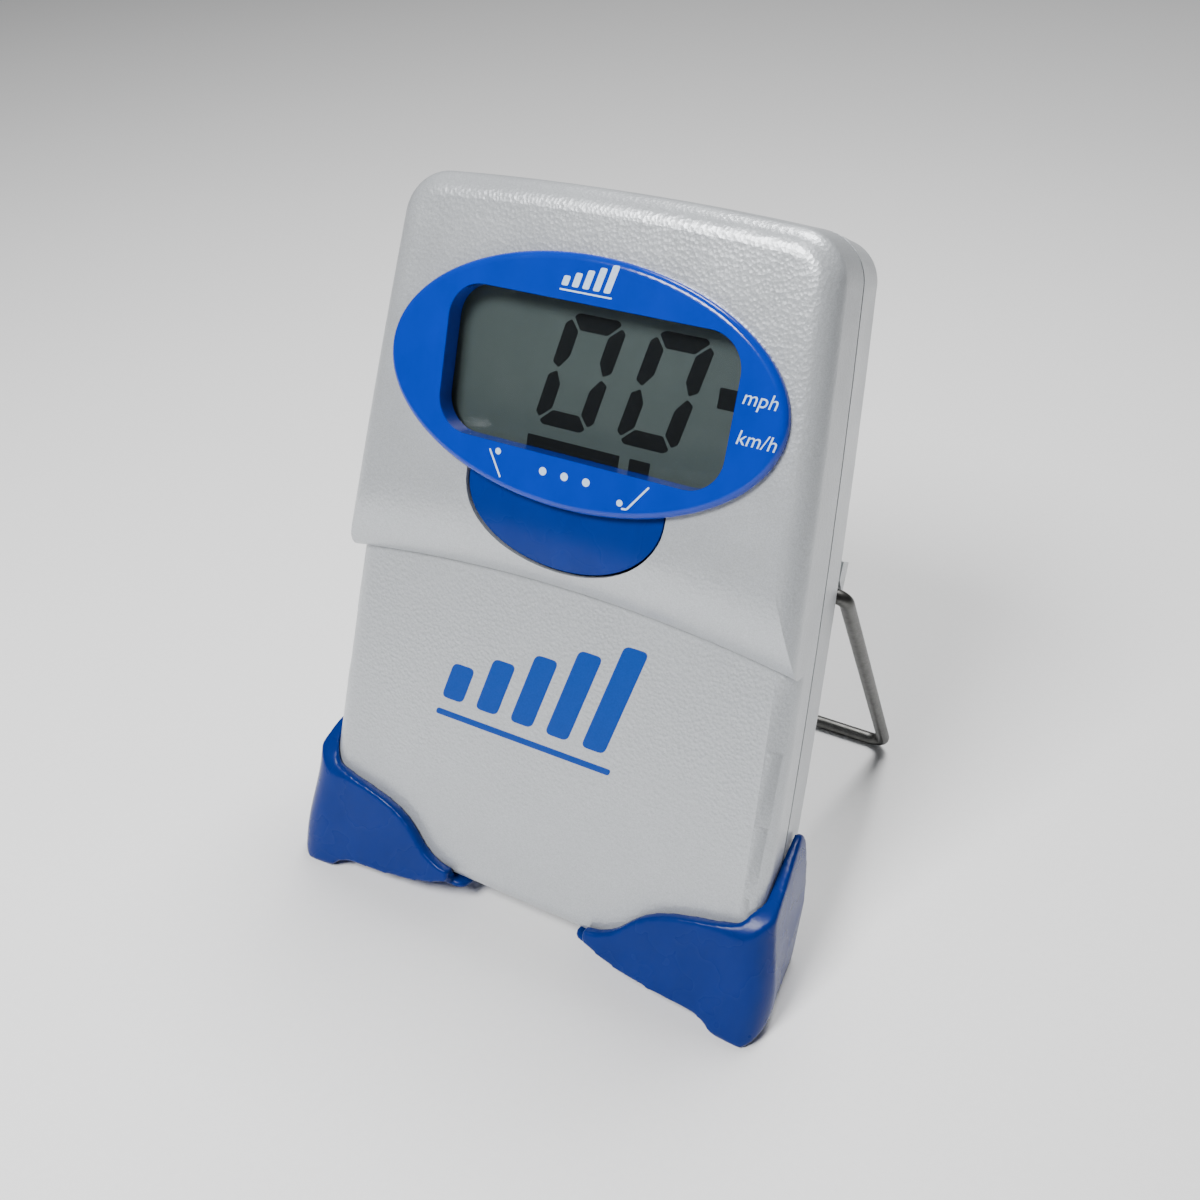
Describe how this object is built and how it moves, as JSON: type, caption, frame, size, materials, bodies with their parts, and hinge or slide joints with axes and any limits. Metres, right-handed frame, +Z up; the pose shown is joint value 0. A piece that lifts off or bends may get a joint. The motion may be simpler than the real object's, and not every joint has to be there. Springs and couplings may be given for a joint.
{
  "type": "speed radar display",
  "caption": "Free-standing pocket speed radar: leaning two-part case with oval-framed number display, half-moon button, two boot-shaped feet and a folding wire stand.",
  "frame": {"origin": "on the ground under the middle of the standing object's bounding box", "axes": "+Z up, -Y towards the viewer of the display, +X to the viewer's right"},
  "size_m": [0.1098, 0.0988, 0.1435],
  "materials": {
    "case_plastic": "fine-textured pale grey moulded plastic",
    "bezel_plastic": "glossy bright blue",
    "foot_plastic": "semi-gloss deep blue",
    "button_plastic": "semi-gloss deep blue",
    "clear_window": "clear sheet",
    "lcd_glass": "grey-green display glass",
    "contact_rubber": "layered contact rubber",
    "foam": "white foam",
    "inner_plastic": "black moulded plastic",
    "circuit_board": "green solder mask",
    "chip_black": "black epoxy",
    "copper": "gold-plated copper",
    "tin_plate": "tinned steel",
    "steel_wire": "dark satin steel",
    "screw_steel": "zinc plate",
    "cell_wrap": "black sleeve",
    "can_sleeve": "dark blue sleeve",
    "lead_wire": "red insulation"
  },
  "bodies": {
    "case": {"front_cover": "case_plastic", "rear_cover": "case_plastic", "display_bezel": "bezel_plastic", "display_window": "clear_window", "lcd_panel": "lcd_glass", "lcd_connector_strips": "contact_rubber", "lcd_foam_pad": "foam", "lcd_frame": "inner_plastic", "lcd_frame_screws": "screw_steel", "main_board": "circuit_board", "board_screws": "screw_steel", "case_screws": "screw_steel", "microcontroller": "chip_black", "signal_chips": "chip_black", "filter_capacitors": "can_sleeve", "crystal": "tin_plate", "chip_components": "chip_black", "antenna_board": "circuit_board", "antenna_patches": "copper", "radar_shield": "tin_plate", "tact_switch": "inner_plastic", "battery_cells": "cell_wrap", "battery_springs": "tin_plate", "battery_contact_plates": "tin_plate", "battery_leads": "lead_wire", "right_foot": "foot_plastic", "left_foot": "foot_plastic", "foot_screws": "screw_steel"},
    "button": {"mode_button": "button_plastic", "switch_plunger": "inner_plastic"},
    "door": {"battery_door": "case_plastic"},
    "stand": {"wire_stand": "steel_wire"}
  },
  "joints": [
    {"name": "button_press", "type": "slide", "parent": "case", "child": "button", "axis": [0, 0.9511, -0.309], "range_m": [0, 0.0008], "stiffness_N_per_m": 1500, "springref_m": -0.0003},
    {"name": "stand_fold", "type": "hinge", "parent": "case", "child": "stand", "pos_m": [0, 0.00505, 0.07049], "axis": [1, 0, 0], "range_deg": [-49.5, 0]},
    {"name": "door_open", "type": "hinge", "parent": "case", "child": "door", "pos_m": [0, -0.01945, 0.00432], "axis": [-1, 0, 0], "range_deg": [0, 65]}
  ]
}
